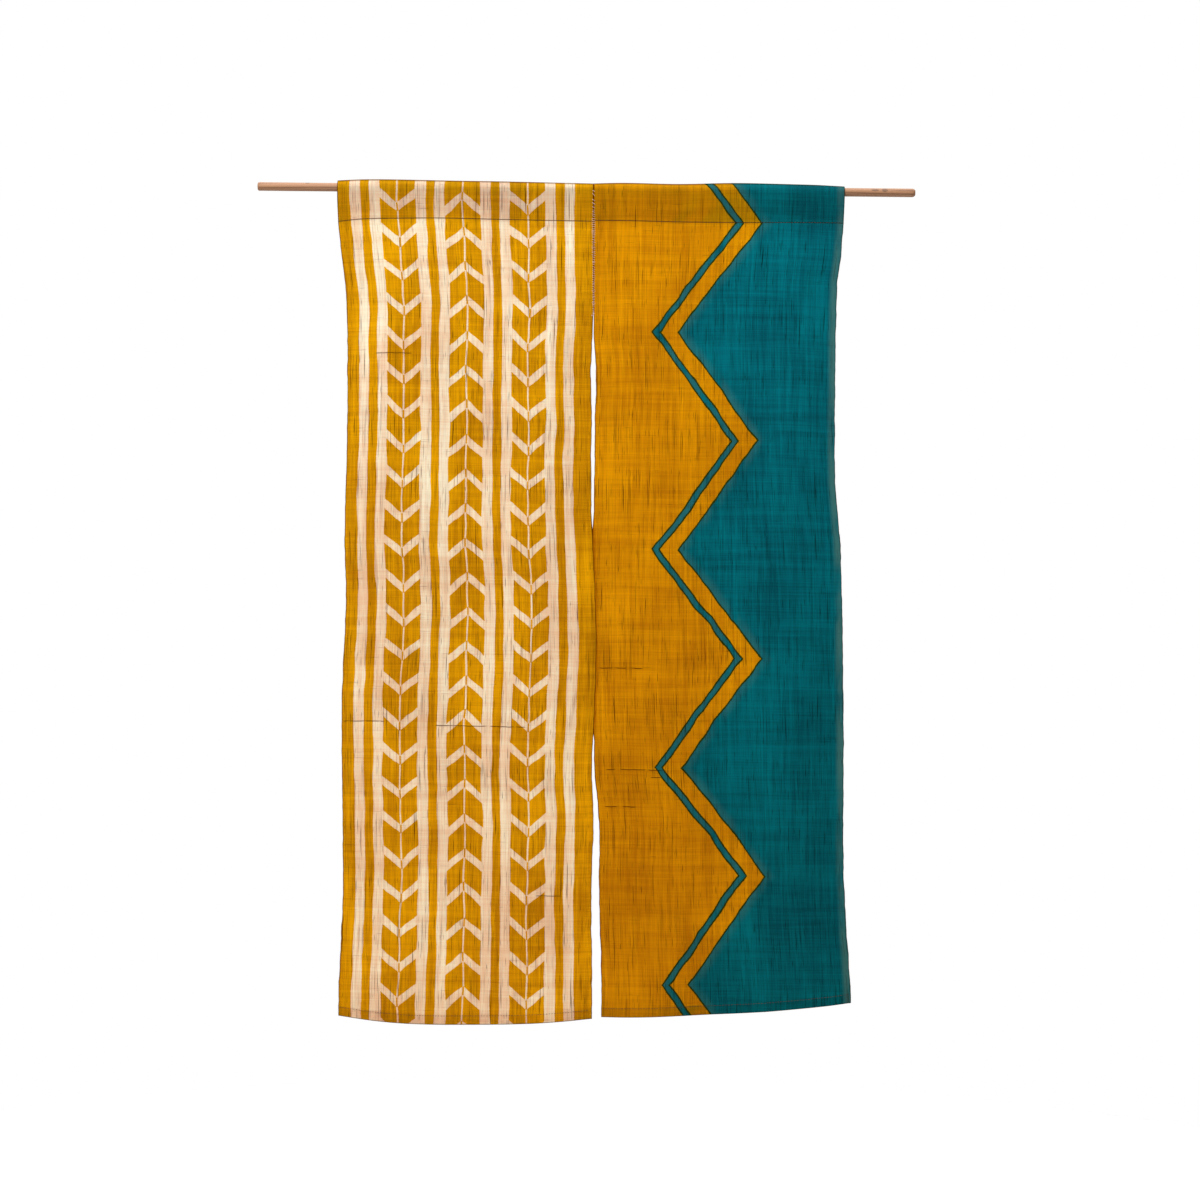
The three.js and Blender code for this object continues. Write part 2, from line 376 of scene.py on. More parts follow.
CREST_ROW = POCKET_ROWS
SEAM_ROW = CREST_ROW + POCKET_ROWS
BOTTOM_ROW = SEAM_ROW + FALL_ROWS
LAST_ROW = BOTTOM_ROW + HEM_ROWS
HEM_LINE_ROW = BOTTOM_ROW - ROWS_BESIDE_HEM


def ironed(field, passes):
    """A field of numbers evened out along its first axis, its two ends kept."""
    field = field.copy()
    for _ in range(passes):
        field[1:-1] = field[1:-1] / 2 + (field[:-2] + field[2:]) / 4
    return field


def level_lines(shape):
    """The heights of the crease, the pocket's seam and the hem at each station across a panel."""
    crest, seam, bottom = [], [], []
    for share in STATIONS:
        inner = EDGE_INSET + (1 - 2 * EDGE_INSET) * share
        x = shape.across(inner, 0)
        crest.append(shape.rim((x, -5 * MM), (x, 40 * MM), shape.has_cloth).y)
        x = shape.across(inner, SEAM_SEARCH[0])
        seam.append(shape.rim((x, SEAM_SEARCH[0]), (x, SEAM_SEARCH[1]), shape.is_pocket).y)
        x = shape.across(inner, SIDE_EDGE_TO)
        bottom.append(shape.rim((x, SIDE_EDGE_TO), (x, shape.low[2] - 5 * MM), shape.has_cloth).y)
    return [ironed(np.array(line), LINE_IRONINGS) for line in (crest, seam, bottom)]


def sheet_path(shape):
    """The places of a sheet's vertices, by row and station, on the middle of its thickness."""
    crest, seam, bottom = level_lines(shape)
    crest -= CAD_THICKNESS / 2
    z = np.zeros((LAST_ROW + 1, COLUMN_COUNT + 1))
    for row in range(LAST_ROW + 1):
        if row <= SEAM_ROW:
            share = (abs(row - CREST_ROW) / POCKET_ROWS) ** CREST_CROWDING
            z[row] = crest + (seam - crest) * share
        elif row <= BOTTOM_ROW:
            z[row] = seam + (bottom - seam) * (row - SEAM_ROW) / FALL_ROWS
        else:
            z[row] = bottom + HEM_HEIGHT * (row - BOTTOM_ROW) / HEM_ROWS
    z[HEM_LINE_ROW] = bottom + HEM_HEIGHT
    x = np.array([[shape.across(share, height) for share, height in zip(STATIONS, heights)] for heights in z])

    y = np.zeros_like(z)
    inner = EDGE_INSET + (1 - 2 * EDGE_INSET) * STATIONS
    for row in range(LAST_ROW + 1):
        side = 1 if row < CREST_ROW or row > BOTTOM_ROW else -1
        for k, share in enumerate(inner):
            lowest = bottom[k] + ABOVE_BOTTOM if row > CREST_ROW else seam[k] + ABOVE_FLAP_END
            place_z = min(max(z[row, k], lowest), crest[k])
            depth = shape.depth(shape.across(share, place_z), place_z, side)
            y[row, k] = np.nan if depth is None else depth - side * CAD_THICKNESS / 2
    y[CREST_ROW] = 0
    missing = np.isnan(y)
    y[missing] = np.interp(np.flatnonzero(missing), np.flatnonzero(~missing), y[~missing])
    y[BOTTOM_ROW] = (y[BOTTOM_ROW - 1] + y[BOTTOM_ROW + 1]) / 2

    y = ironed(y.T, DEPTH_IRONINGS).T
    y[SEAM_ROW : BOTTOM_ROW - 6] = ironed(y[SEAM_ROW : BOTTOM_ROW - 6], FACET_IRONINGS)
    print("  rays that found no cloth:", int(missing.sum()))
    return np.stack([x, y, z], axis=-1)


# %% [markdown]
# ## Small unevenness
#
# The frame's folds are the large ones. A hung cloth has small ones too: flat creases across from the time
# when it lay folded in a drawer, puckers under a hand-sewn seam, selvedges that curl a little and wander,
# and a slow unrest all over. Each is a short rule that moves the sheet by a millimetre or so. Simulated
# cloth would give the puckers, but not the creases where this curtain has them.

# %% Creases, puckers, selvedges
CREASES = {
    "panel_left": [
        {"drop": 340, "depth": 0.9, "width": 16, "start": 0.1, "end": 1.0},
        {"drop": 608, "depth": -0.9, "width": 12, "start": 0.0, "end": 0.75},
        {"drop": 708, "depth": 0.8, "width": 10, "start": 0.25, "end": 1.0},
        {"drop": 942, "depth": -0.9, "width": 8, "start": 0.0, "end": 0.7},
        {"drop": 1078, "depth": 1.4, "width": 12, "start": 0.2, "end": 1.0},
        {"drop": 1362, "depth": -0.9, "width": 14, "start": 0.3, "end": 1.0},
    ],
    "panel_right": [
        {"drop": 268, "depth": 0.8, "width": 14, "start": 0.0, "end": 0.8},
        {"drop": 640, "depth": -1.0, "width": 12, "start": 0.1, "end": 1.0},
        {"drop": 872, "depth": 0.9, "width": 9, "start": 0.0, "end": 0.7},
        {"drop": 1028, "depth": 1.1, "width": 10, "start": 0.0, "end": 0.9},
        {"drop": 1258, "depth": -0.9, "width": 13, "start": 0.15, "end": 1.0},
    ],
}
SEWN_TO_DROP = 216 * MM
JOINT_PULL = 0.13 * MM
STITCH_INSET = 1.5 * MM
ABOUT_PANEL_WIDTH = 0.45


def smooth_step(value, low, high):
    """0 below low and 1 above high, soft between them."""
    share = np.clip((value - low) / (high - low), 0, 1)
    return share * share * (3 - 2 * share)


def unrest(place, size, seed):
    """Slow noise at each place, about -1 to 1, with bumps of a size."""
    flat = place.reshape(-1, 3)
    values = [noise.noise(Vector((x / size[0], seed, z / size[1]))) for x, _, z in flat]
    return np.array(values).reshape(place.shape[:2])


def crease_depth(node, drop):
    """How far the drawer's creases push the cloth back."""
    depth = np.zeros_like(drop)
    for crease in CREASES[node]:
        wander = 2.5 * MM * np.sin(STATIONS * 9 + crease["drop"])
        off = (drop - crease["drop"] * MM - wander) / (crease["width"] * MM)
        reach = smooth_step(STATIONS, crease["start"] - 0.12, crease["start"] + 0.05)
        reach = reach * (1 - smooth_step(STATIONS, crease["end"] - 0.05, crease["end"] + 0.12))
        depth += crease["depth"] * MM * np.exp(-np.abs(off) * 1.6) * reach
    return depth


def add_unevenness(node, place):
    """Moves a sheet's vertices by its small folds, its puckers and its wandering selvedges."""
    drop = -place[..., 2]
    on_fall = smooth_step(drop, 45 * MM, 90 * MM)
    seed = len(node)
    push = crease_depth(node, drop) * on_fall
    push += 1.1 * MM * unrest(place, (0.055, 0.30), seed) * on_fall
    push += 0.35 * MM * unrest(place, (0.018, 0.11), seed + 3) * on_fall
    under_seam = np.exp(-np.clip(drop - 56 * MM, 0, None) / (24 * MM))
    puckered = under_seam * smooth_step(drop, 20 * MM, 50 * MM)
    push += 0.55 * MM * unrest(place, (0.014, 0.2), seed + 7) * puckered
    edge_gap = np.minimum(STATIONS, 1 - STATIONS) * ABOUT_PANEL_WIDTH
    curl = np.exp(-edge_gap / (5 * MM)) * unrest(place, (0.3, 0.09), seed + 11)
    push += 1.3 * MM * curl * on_fall

    slit_side = STATIONS if node == "panel_left" else 1 - STATIONS
    free = 1 - smooth_step(slit_side, 0.75, 1.0) * (1 - smooth_step(drop, SEWN_TO_DROP, SEWN_TO_DROP + 0.06))
    by_height = place * [0, 1, 1]
    wander = 1.1 * MM * unrest(by_height, (1, 0.034), seed + 17)
    wander += 0.6 * MM * unrest(by_height, (1, 0.011), seed + 19)
    near_edge = np.exp(-edge_gap / (20 * MM))
    place[..., 0] += wander * near_edge * free * smooth_step(drop, 30 * MM, 80 * MM)
    place[..., 1] += push
    return place


# %% [markdown]
# ## From path to sheet
#
# One operator makes the flat grid, and each vertex then moves to its place on the path. The grid's UV map is
# the cloth itself, flat and in metres: u runs from the left selvedge to the right one, and v is the length
# of cloth from the crease on top, downwards on the front and negative behind. Weave and dye can then follow
# the cloth around the rod and into the hem. Two attributes say how far a point is from the hem's fold and
# from the stitches of the pocket. Solidify gives the sheet its half millimetre, so it is a closed thin body
# with real edges.


# %% Make a sheet
def flat_lengths(place):
    """The length of cloth from the crease on top to each vertex, down its column."""
    steps = np.linalg.norm(np.diff(place, axis=0), axis=-1)
    run = np.concatenate([np.zeros((1, place.shape[1])), np.cumsum(steps, axis=0)])
    return run - run[CREST_ROW]


def make_sheet(node, name):
    """The thin cloth of one panel. Returns its object and the places of its vertices."""
    shape = shapes[node]
    place = add_unevenness(node, sheet_path(shape))
    edge, way = (-1, 1) if node == "panel_left" else (0, -1)
    place[:, edge, 0] += way * JOINT_PULL * (place[:, edge, 2] > -SEWN_TO_DROP)
    length = flat_lengths(place)
    width = float(np.mean(shape.edges[1] - shape.edges[0]))

    bm = bmesh.new()
    bmesh.ops.create_grid(bm, x_segments=COLUMN_COUNT, y_segments=LAST_ROW, size=0.5)
    cloth_uv = bm.loops.layers.uv.new("cloth")
    hem_gap = bm.verts.layers.float.new("hem_gap")
    seam_gap = bm.verts.layers.float.new("seam_gap")
    flat = {}
    for vertex in bm.verts:
        column = round((vertex.co.x + 0.5) * COLUMN_COUNT)
        row = LAST_ROW - round((vertex.co.y + 0.5) * LAST_ROW)
        vertex.co = place[row, column]
        vertex[hem_gap] = length[BOTTOM_ROW, column] - length[row, column]
        vertex[seam_gap] = length[SEAM_ROW, column] - STITCH_INSET - abs(length[row, column])
        flat[vertex] = (STATIONS[column] * width, length[row, column])
    for face in bm.faces:
        for loop in face.loops:
            loop[cloth_uv].uv = flat[loop.vert]

    sheet = placed(name, mesh_from(bm, name))
    body = sheet.modifiers.new("thickness", "SOLIDIFY")
    body.thickness = SHEET_THICKNESS
    body.offset = 0
    graph = bpy.context.evaluated_depsgraph_get()
    thick = bpy.data.meshes.new_from_object(sheet.evaluated_get(graph))
    sheet.modifiers.clear()
    sheet.data = thick
    thick.name = name
    thick.set_sharp_from_angle(angle=math.radians(55))
    flat_size = (width, float(np.mean(length[LAST_ROW] - length[0])))
    print(name, len(thick.polygons), "faces, flat size", [round(side, 3) for side in flat_size])
    return sheet, place, flat_size


left_sheet, left_place, left_flat = make_sheet("panel_left", "left_cloth")
right_sheet, right_place, right_flat = make_sheet("panel_right", "right_cloth")

# %% [markdown]
# ## Hand-spun hemp threads
#
# Hemp yarn is split and knotted by hand, so no thread is even. Seen close, the cloth is a plain weave: each
# warp thread runs over one weft thread and under the next. Seen from a step away, the threads show as fine
# streaks along the warp, with dark slubs where the yarn is thick, and as fainter streaks across.
#
# A picture of cloth would repeat and would have one size. This group draws the weave by arithmetic: two
# sines, one for each direction, and their product, which is positive where the warp is on top.

# %% The thread group
THREAD_BEND = 1.6 * MM

# Bumps a metre across and along, place in the noise, from where to where it turns dark, and its weight
SLUB_KINDS = [
    (640, 10, 21.0, 0.66, 0.73, 1.0),
    (760, 30, 29.0, 0.675, 0.745, 0.9),
    (24, 680, 33.0, 0.71, 0.775, 0.5),
    (1050, 8, 37.0, 0.56, 0.68, 0.3),
]

threads_group, given, gives = new_group(
    "hemp threads",
    [("Cloth", "Vector", None), ("Thread", "Float", 0.8 * MM), ("Seed", "Float", 0.0)],
    [("Relief", "Float"), ("Warp", "Float"), ("Weft", "Float"), ("Slubs", "Float"), ("Cloud", "Float")],
)
tree = threads_group
u, v = parts(tree, given["Cloth"])[:2]
seed = given["Seed"]


def stretched(u_per_metre, v_per_metre, offset=0.0, detail=2.0):
    """Noise on the cloth with its own number of bumps a metre across and along."""
    where = vector(
        tree,
        times(tree, u, u_per_metre),
        times(tree, v, v_per_metre),
        plus(tree, seed, offset),
    )
    return speckle(tree, where, detail)


def sway(reach, *bumps):
    """A shift to and fro by noise, over a reach."""
    return times(tree, minus(tree, stretched(*bumps), 0.5), reach)


def thread_wave(at, bend):
    """A sine whose half wave is one thread."""
    threads = calc(tree, "DIVIDE", plus(tree, at, bend), given["Thread"])
    return calc(tree, "SINE", times(tree, threads, math.pi))


sine_u = thread_wave(u, sway(THREAD_BEND, 90, 40, 1.3))
sine_v = thread_wave(v, sway(THREAD_BEND, 30, 110, 7.9))
warp_on_top = times(tree, sine_u, sine_v)
warp_relief = plus(tree, calc(tree, "ABSOLUTE", sine_u), warp_on_top)
weft_relief = minus(tree, calc(tree, "ABSOLUTE", sine_v), warp_on_top)

slub_sum = 0.0
for *bumps, low, high, weight in SLUB_KINDS:
    slubs = ramp(tree, stretched(*bumps, detail=1.0), low, high)
    slub_sum = calc(tree, "MULTIPLY_ADD", slubs, weight, slub_sum)

tree.links.new(times(tree, most(tree, warp_relief, weft_relief), 0.5), gives["Relief"])
streaks = {"Warp": ((780, 14, 3.1), (210, 5, 11.7)), "Weft": ((10, 560, 5.3), (4, 90, 13.1))}
for label, (fine, wide) in streaks.items():
    fine, wide = times(tree, stretched(*fine), 0.6), times(tree, stretched(*wide), 0.4)
    tree.links.new(plus(tree, fine, wide), gives[label])
tree.links.new(calc(tree, "MINIMUM", slub_sum, 1.0), gives["Slubs"])
tree.links.new(stretched(9, 5, 41.0, 3.0), gives["Cloud"])
print("thread group:", len(tree.nodes), "nodes")

# %% [markdown]
# ## How dye takes
#
# The pattern was dyed by hand: paste keeps the dye off, and the rest of the cloth is brushed with it. So a
# dyed edge wanders a little, because a hand drew it, and frays from thread to thread, because the dye creeps
# along the yarn. And no field of colour is even: each thread takes the dye in its own way.
#
# Both effects are groups, because both panels use them. The first bends the cloth's coordinates before a
# motif is drawn on them. The second takes a colour's pale and deep tone and lays them over the threads, and
# paints shade into the low places between the threads.

# %% The dye groups
edge_group, given, gives = new_group(
    "hand-drawn edge",
    [("Cloth", "Vector", None), ("Wander", "Float", 8 * MM), ("Creep", "Float", 1.2 * MM)],
    [("Cloth", "Vector")],
)
tree = edge_group
u, v = parts(tree, given["Cloth"])[:2]
seed = 2.0
slow_u = sway(given["Wander"], 38, 15, 0.7, 1.0)
slow_v = sway(given["Wander"], 15, 24, 4.7, 1.0)
creep_u = sway(given["Creep"], 160, 420, 9.7)
creep_v = sway(given["Creep"], 900, 130, 15.7)
bent_u = plus(tree, u, plus(tree, slow_u, creep_u))
bent_v = plus(tree, v, plus(tree, slow_v, times(tree, creep_v, 2.5)))
tree.links.new(vector(tree, bent_u, bent_v), gives["Cloth"])

tone_group, given, gives = new_group(
    "dyed tone",
    [("Pale", "Color", None), ("Deep", "Color", None), ("Relief", "Float", 0.5), ("Warp", "Float", 0.5)]
    + [("Weft", "Float", 0.5), ("Cloud", "Float", 0.5), ("Contrast", "Float", 1.0)],
    [("Colour", "Color")],
)
tree = tone_group
tone = calc(tree, "MULTIPLY_ADD", given["Warp"], 1.5, given["Weft"])
tone = plus(tree, tone, times(tree, given["Cloud"], 0.9))
# Painted shade: the tone is deeper where the thread relief is low, between the threads
tone = minus(tree, tone, times(tree, given["Relief"], 0.5))
tone = times(tree, minus(tree, tone, 1.4), given["Contrast"])
tone = add_node(tree, "Clamp", {0: plus(tree, tone, 0.5)}).outputs[0]
tree.links.new(mixed(tree, tone, given["Pale"], given["Deep"]), gives["Colour"])
print("dye groups ready")

# %% [markdown]
# ## The left panel's design
#
# The panel is cream with mustard. Its design here is a traditional one: thin stripes that alternate with
# columns of arrow feathers. A feather is mustard, its barbs slope to a thin cream spine, and a narrow cream
# band parts it from the next one. Where the spine crosses that band it turns mustard. Every second column
# flies the other way.
#
# A repeat like this needs no image. The remainder of u divided by the repeat's width says where a point lies
# in its repeat, a few comparisons make the stripes, and the height of a point plus its distance from the
# spine, again divided by the feather's length, makes the barbs.

# %% Stripes and arrow feathers
REPEAT_WIDTH = 112.0 * MM
COLUMNS = 3
FIRST_CREAM = 22.0 * MM
STRIPE_FROM, STRIPE_TO = 18.0 * MM, 33.5 * MM
FEATHERS_FROM = 51.0 * MM
FEATHER_LENGTH = 61.0 * MM
MUSTARD_SHARE = 0.74
SECOND_COLUMN_SHIFT = 0.37
BARB_SLOPE = 0.85
SPINE_HALF = 1.4 * MM


def feather_mask(tree, cloth):
    """1 where the left panel is mustard, 0 where it is cream."""
    place = parts(tree, cloth)
    across = minus(tree, place[0], FIRST_CREAM)
    repeat = calc(tree, "FLOOR", calc(tree, "DIVIDE", across, REPEAT_WIDTH))
    within = minus(tree, across, times(tree, repeat, REPEAT_WIDTH))
    after = calc(tree, "GREATER_THAN", within, STRIPE_FROM)
    before = calc(tree, "LESS_THAN", within, STRIPE_TO)
    stripe = times(tree, after, before)

    middle = (FEATHERS_FROM + REPEAT_WIDTH) / 2
    from_spine = calc(tree, "ABSOLUTE", minus(tree, within, middle))
    second = calc(tree, "PINGPONG", repeat, 1.0)
    way = minus(tree, 1.0, times(tree, second, 2.0))
    sloped = times(tree, from_spine, BARB_SLOPE, way)
    barb = calc(tree, "DIVIDE", plus(tree, place[1], sloped), FEATHER_LENGTH)
    barb = calc(tree, "FRACT", calc(tree, "MULTIPLY_ADD", second, SECOND_COLUMN_SHIFT, barb))
    dyed = calc(tree, "LESS_THAN", barb, MUSTARD_SHARE)
    on_spine = calc(tree, "LESS_THAN", from_spine, SPINE_HALF)
    feather = calc(tree, "ABSOLUTE", minus(tree, dyed, on_spine))
    feather = times(tree, feather, calc(tree, "GREATER_THAN", within, FEATHERS_FROM))

    left_border = calc(tree, "LESS_THAN", across, 0.0)
    last_feather = FIRST_CREAM + COLUMNS * REPEAT_WIDTH + FEATHERS_FROM
    right_border = calc(tree, "GREATER_THAN", place[0], last_feather)
    return most(tree, left_border, right_border, stripe, feather)


# %% [markdown]
# ## The right panel's design
#
# The right panel is mustard with a teal field along its outer selvedge. The edge between them here is the
# traditional mountain path, a zigzag, with a thin teal line that runs beside it. Where teal was brushed over
# mustard the two dyes add up to a dark green line. A triangle wave of v gives the edge's place, and what is
# to the right of it is teal.

# %% Mountain path
PATH_FIRST = 152.0 * MM
PATH_DEPTH = 142.0 * MM
PATH_PITCH = 384.0 * MM
PATH_START = 118.0 * MM
LINE_LEFT_OF_PATH = 40.0 * MM
LINE_WIDTH = 13.0 * MM
OVERLAP_HALF = 1.7 * MM


def path_masks(tree, cloth):
    """The masks of the teal and of the overlap line, and how far a point is inside the teal."""
    place = parts(tree, cloth)
    wave = calc(tree, "PINGPONG", plus(tree, place[1], PATH_START), PATH_PITCH / 2)
    edge = plus(tree, times(tree, wave, PATH_DEPTH / (PATH_PITCH / 2)), PATH_FIRST)
    beyond = minus(tree, place[0], edge)
    field = calc(tree, "GREATER_THAN", beyond, 0.0)
    line_gap = calc(tree, "ABSOLUTE", plus(tree, beyond, LINE_LEFT_OF_PATH))
    line = calc(tree, "LESS_THAN", line_gap, LINE_WIDTH / 2)
    field_rim = calc(tree, "LESS_THAN", calc(tree, "ABSOLUTE", beyond), OVERLAP_HALF)
    from_line = calc(tree, "ABSOLUTE", minus(tree, line_gap, LINE_WIDTH / 2))
    line_rim = calc(tree, "LESS_THAN", from_line, OVERLAP_HALF)
    return most(tree, field, line), most(tree, field_rim, line_rim), beyond


# %% [markdown]
# ## The cloth material
#
# Both panels are the same cloth, so one function makes both materials and takes only the dye from its own
# panel. The sheet is thin and lets light through. Glass-like transmission would be wrong for yarn, which
# scatters the light: about a quarter of it here is scattered back by a Principled shader, and the rest is
# scattered through by a Translucent one. Where two layers lie on each other, in the pocket and in the hem,
# less light comes through, so they turn out darker by themselves, and the back layer's pattern shows
# faintly in front.
#
# Lines are laid over the dye: a few long thick threads of darker yarn, and painted shade along the crease on
# top, the folded edge of the hem, the row of stitches, the selvedges and the sewn joint. Each is a soft step
# of the distance to it, so its width is given in millimetres. Lower down, both panels also get painted shade,
# a little darker and warmer.

# %% Cloth materials
MUSTARD_PALE, MUSTARD_DEEP = colour(247, 202, 3), colour(204, 149, 0)
AMBER_PALE, AMBER_DEEP = colour(248, 197, 1), colour(206, 144, 0)
CREAM_PALE, CREAM_DEEP = colour(255, 252, 236), colour(241, 213, 184)
TEAL_PALE, TEAL_DEEP = colour(0, 158, 171), colour(0, 109, 124)
CHALK = colour(92, 152, 152)
# Painted shade: the darker, warmer tint of each panel towards the bottom
LEFT_LOW_SHADE, RIGHT_LOW_SHADE = colour(252, 247, 241), colour(239, 229, 221)
OVERLAP_GREEN = colour(56, 84, 16)
SLUB_TINT = colour(132, 92, 70)
# Painted shade along the crease, the hem's fold, the stitch row and the selvedges
FOLD_SHADE_TINT = colour(164, 136, 108)
# Painted shade along the sewn joint
JOINT_SHADE_TINT = colour(216, 184, 150)
THROUGH_SHARE = 0.72
SLUB_HALF = (0.4 * MM, 1.0 * MM)
# Half widths of the painted shade lines, where they are full and where they fade out
CREST_SHADE_HALF = (1.0 * MM, 6.5 * MM)
HEM_FOLD_SHADE_HALF = (0.4 * MM, 1.6 * MM)
STITCH_SHADE_HALF = (0.3 * MM, 1.1 * MM)
SELVEDGE_SHADE_HALF = (0.4 * MM, 1.9 * MM)
JOINT_SHADE_HALF = (0.3 * MM, 2.2 * MM)


def slub_line(tree, cloth, v, u_from, u_to):
    """1 on one long thick weft thread, v metres down the cloth."""
    place = parts(tree, cloth)
    stretch = add_node(tree, "Mapping", {"Vector": cloth, "Scale": (60, 3, 1)}).outputs[0]
    unsteady = speckle(tree, stretch, 2.0)
    height = calc(tree, "MULTIPLY_ADD", unsteady, 3 * MM, v - 1.5 * MM)
    off = calc(tree, "ABSOLUTE", minus(tree, place[1], height))
    started = ramp(tree, place[0], u_from, u_from + 6 * MM)
    not_ended = near(tree, place[0], u_to - 6 * MM, u_to)
    patchy = ramp(tree, unsteady, 0.3, 0.5)
    return times(tree, near(tree, off, *SLUB_HALF), started, not_ended, patchy)


def cloth_material(name, pattern, seed, width, joint_u, low_shade, long_slubs):
    """Hemp cloth. pattern gives the dye's colour, joint_u is the sewn edge and low_shade the painted shade
    lower down.
    """
    material, tree = new_material(name)
    cloth = add_node(tree, "UVMap", uv_map="cloth").outputs[0]
    threads = add_node(tree, "Group", {"Cloth": cloth, "Seed": seed}, node_tree=threads_group).outputs
    drawn = add_node(tree, "Group", {"Cloth": cloth}, node_tree=edge_group).outputs["Cloth"]

    def tones(pale, deep, contrast=1.0):
        inputs = {"Pale": pale, "Deep": deep, "Contrast": contrast}
        for label in ("Relief", "Warp", "Weft", "Cloud"):
            inputs[label] = threads[label]
        return add_node(tree, "Group", inputs, node_tree=tone_group).outputs[0]

    dyed = pattern(tree, cloth, drawn, tones)
    slubs = threads["Slubs"]
    for place in long_slubs:
        slubs = most(tree, slubs, slub_line(tree, cloth, *place))
    dyed = mixed(tree, times(tree, slubs, 0.92), dyed, SLUB_TINT, "MULTIPLY")

    u, v = parts(tree, cloth)[:2]
    hem_gap = add_node(tree, "Attribute", attribute_name="hem_gap").outputs["Fac"]
    seam_gap = add_node(tree, "Attribute", attribute_name="seam_gap").outputs["Fac"]
    side_gap = calc(tree, "MINIMUM", u, minus(tree, width, u))
    # Painted shade: darker lines along the crease on top, the hem's fold, the stitch row and the selvedges
    gaps = ((v, CREST_SHADE_HALF), (hem_gap, HEM_FOLD_SHADE_HALF), (seam_gap, STITCH_SHADE_HALF), (side_gap, SELVEDGE_SHADE_HALF))
    lines = [near(tree, calc(tree, "ABSOLUTE", gap), *half) for gap, half in gaps]
    dyed = mixed(tree, most(tree, *lines), dyed, FOLD_SHADE_TINT, "MULTIPLY")
    # Painted shade: a darker line down the joint, where the two panels are sewn together
    from_joint = calc(tree, "ABSOLUTE", minus(tree, u, joint_u))
    above_slit = calc(tree, "LESS_THAN", v, SEWN_TO_DROP)
    joined = times(tree, near(tree, from_joint, *JOINT_SHADE_HALF), above_slit)
    dyed = mixed(tree, joined, dyed, JOINT_SHADE_TINT, "MULTIPLY")
    # Painted shade: towards the bottom, the cloth is multiplied by a darker, warmer tint
    dyed = mixed(tree, ramp(tree, v, 0.1, 1.7), dyed, low_shade, "MULTIPLY")

    height = calc(tree, "MULTIPLY_ADD", threads["Slubs"], 0.9, threads["Relief"])
    height = calc(tree, "MULTIPLY_ADD", threads["Warp"], 0.5, height)
    bump = add_node(tree, "Bump", {"Height": height, "Distance": 0.2 * MM, "Strength": 0.9}).outputs[0]
    inputs = {"Base Color": dyed, "Roughness": 0.88, "Normal": bump}
    inputs |= {"Specular IOR Level": 0.08, "Sheen Weight": 0.02}
    cloth_shader = add_node(tree, "BsdfPrincipled", inputs).outputs[0]
    through = add_node(tree, "BsdfTranslucent", {"Color": dyed, "Normal": bump}).outputs[0]
    both = add_node(tree, "MixShader", {0: THROUGH_SHARE, 1: cloth_shader, 2: through}).outputs[0]
    add_node(tree, "OutputMaterial", {"Surface": both})
    return material


def left_pattern(tree, cloth, drawn, tones):
    """Mustard feathers and stripes on cream."""
    cream = tones(CREAM_PALE, CREAM_DEEP, 1.7)
    mustard = tones(MUSTARD_PALE, MUSTARD_DEEP, 1.6)
    return mixed(tree, feather_mask(tree, drawn), cream, mustard)


def right_pattern(tree, cloth, drawn, tones):
    """Teal beyond the mountain path, chalky along the path and the selvedge, on mustard."""
    teal_mask, rim_mask, inside = path_masks(tree, drawn)
    teal = tones(TEAL_PALE, TEAL_DEEP, 1.6)
    u = parts(tree, cloth)[0]
    near_selvedge = ramp(tree, u, right_flat[0] - 17 * MM, right_flat[0] - 6 * MM)
    near_path = near(tree, inside, 2 * MM, 24 * MM)
    where = add_node(tree, "Mapping", {"Vector": cloth, "Scale": (34, 9, 1)}).outputs[0]
    patches = ramp(tree, speckle(tree, where, 5.0), 0.3, 0.6)
    chalky = most(tree, near_selvedge, times(tree, near_path, 0.45))
    chalky = times(tree, chalky, patches, 0.95)
    teal = mixed(tree, chalky, teal, CHALK)
    amber = tones(AMBER_PALE, AMBER_DEEP, 1.3)
    return mixed(tree, rim_mask, mixed(tree, teal_mask, amber, teal), OVERLAP_GREEN)


# How far down the cloth each long thick thread lies, and from where to where across it, in metres
LEFT_SLUBS = [(0.960, 0.0, 0.078), (0.966, 0.155, 0.325), (1.263, 0.34, 0.39), (0.31, 0.05, 0.12)]
RIGHT_SLUBS = [(1.039, 0.018, 0.125), (1.052, 0.095, 0.125), (0.86, 0.01, 0.09), (1.105, 0.01, 0.07)]

width = left_flat[0]
hemp = cloth_material("cream and mustard hemp", left_pattern, 0.0, width, width, LEFT_LOW_SHADE, LEFT_SLUBS)
left_sheet.data.materials.append(hemp)
width = right_flat[0]
hemp = cloth_material("mustard and teal hemp", right_pattern, 50.0, width, 0.0, RIGHT_LOW_SHADE, RIGHT_SLUBS)
right_sheet.data.materials.append(hemp)
print("cloth materials ready")

# %% [markdown]
# ## The rod
#
# The rod is a plain planed stick. Its left end is sawn off square with the edge just broken, and its right
# end is worn round. A cylinder would give neither. Here half of its outline is drawn as a few points and
# spun around the axis, as on a lathe, and the long side gets many rings, so that it can be a little uneven.

# %% Turn the rod
ROD_RINGS = 150
ROD_STEPS = 40
DENT_DEPTH = 0.14 * MM
rod_low, rod_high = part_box("rod")
ROD_RADIUS = (rod_high[2] - rod_low[2]) / 2
LEFT_END = [(0, 0), (0, 5.6 * MM), (0.7 * MM, 6.7 * MM), (2 * MM, ROD_RADIUS)]
RIGHT_END = [(5 * MM, ROD_RADIUS), (3.4 * MM, 7.2 * MM), (1.6 * MM, 6.3 * MM), (0, 4.6 * MM), (0, 0)]

